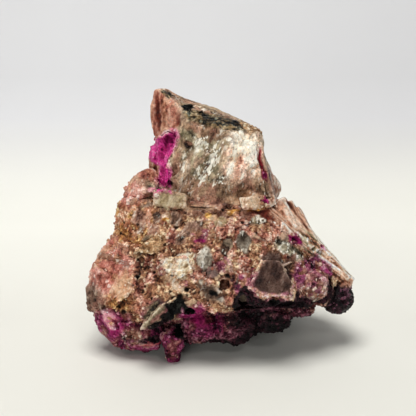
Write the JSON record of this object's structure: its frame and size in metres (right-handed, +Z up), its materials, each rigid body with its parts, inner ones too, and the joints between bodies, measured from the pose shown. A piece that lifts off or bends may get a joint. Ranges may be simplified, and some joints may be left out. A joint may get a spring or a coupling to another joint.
{
  "type": "dolomite specimen",
  "caption": "Hand-sized mineral specimen: a broken pyramid of pink dolomite matrix with a crystal block on top, magenta druse in its hollows and a base to rest on.",
  "frame": {"origin": "under the middle of the specimen's box, on the surface it rests on", "axes": "+Z up, -Y towards the show face with the crystal block and the druse, +X to the right of someone looking at the show face"},
  "size_m": [0.08, 0.0554, 0.076],
  "materials": {
    "dolomite": "translucent broken crystals, satin with bright cleavage glints",
    "druse": "sugary magenta crystals, glassy"
  },
  "bodies": {
    "root": {"dolomite_rock": "dolomite", "pocket_druse": "druse", "lip_druse": "druse"}
  },
  "joints": []
}
